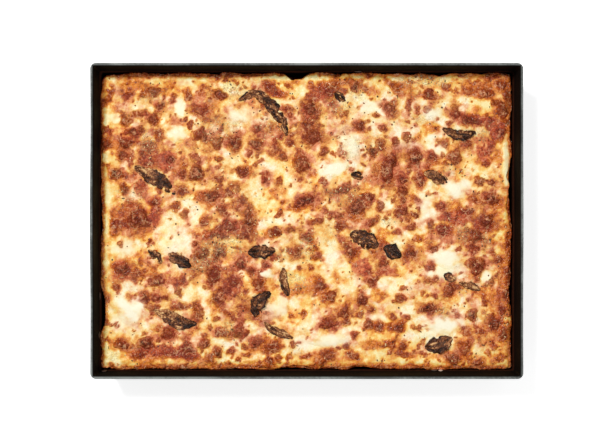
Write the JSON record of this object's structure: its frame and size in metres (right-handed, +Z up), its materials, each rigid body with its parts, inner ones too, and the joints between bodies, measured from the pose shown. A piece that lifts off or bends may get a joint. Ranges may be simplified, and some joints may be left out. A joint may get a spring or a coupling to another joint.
{
  "type": "deep dish pizza in its pan",
  "caption": "Uncut rectangular deep dish pizza with blistered cheese, fresh cheese pools and baked basil, in a black steel pan with tapered walls and a rolled rim.",
  "frame": {"origin": "centre of the pan's underside, on the surface it stands on", "axes": "+X along the pan's long side, +Y across it, +Z up out of the pan"},
  "size_m": [0.363, 0.265, 0.06],
  "materials": {
    "black_steel": "satin black, seasoned by baking, rubbed to bare grey steel on the rim",
    "baked_crust": "browned dough with caramelised cheese, matte to slightly oily",
    "melted_cheese": "melted and browned cheese, oily in places",
    "fresh_cheese": "soft moist white cheese",
    "baked_basil": "dried dark leaf with a faint sheen"
  },
  "bodies": {
    "root": {"pan": "black_steel", "crust": "baked_crust", "cheese": "melted_cheese", "fresh_cheese_01": "fresh_cheese", "fresh_cheese_02": "fresh_cheese", "fresh_cheese_03": "fresh_cheese", "fresh_cheese_04": "fresh_cheese", "fresh_cheese_05": "fresh_cheese", "fresh_cheese_06": "fresh_cheese", "fresh_cheese_07": "fresh_cheese", "fresh_cheese_08": "fresh_cheese", "fresh_cheese_09": "fresh_cheese", "fresh_cheese_10": "fresh_cheese", "fresh_cheese_11": "fresh_cheese", "fresh_cheese_12": "fresh_cheese", "basil_01": "baked_basil", "basil_02": "baked_basil", "basil_03": "baked_basil", "basil_04": "baked_basil", "basil_05": "baked_basil", "basil_06": "baked_basil", "basil_07": "baked_basil", "basil_08": "baked_basil", "basil_09": "baked_basil", "basil_10": "baked_basil", "basil_11": "baked_basil", "basil_12": "baked_basil", "basil_13": "baked_basil", "basil_14": "baked_basil", "basil_15": "baked_basil", "basil_16": "baked_basil", "basil_17": "baked_basil", "basil_18": "baked_basil"}
  },
  "joints": []
}
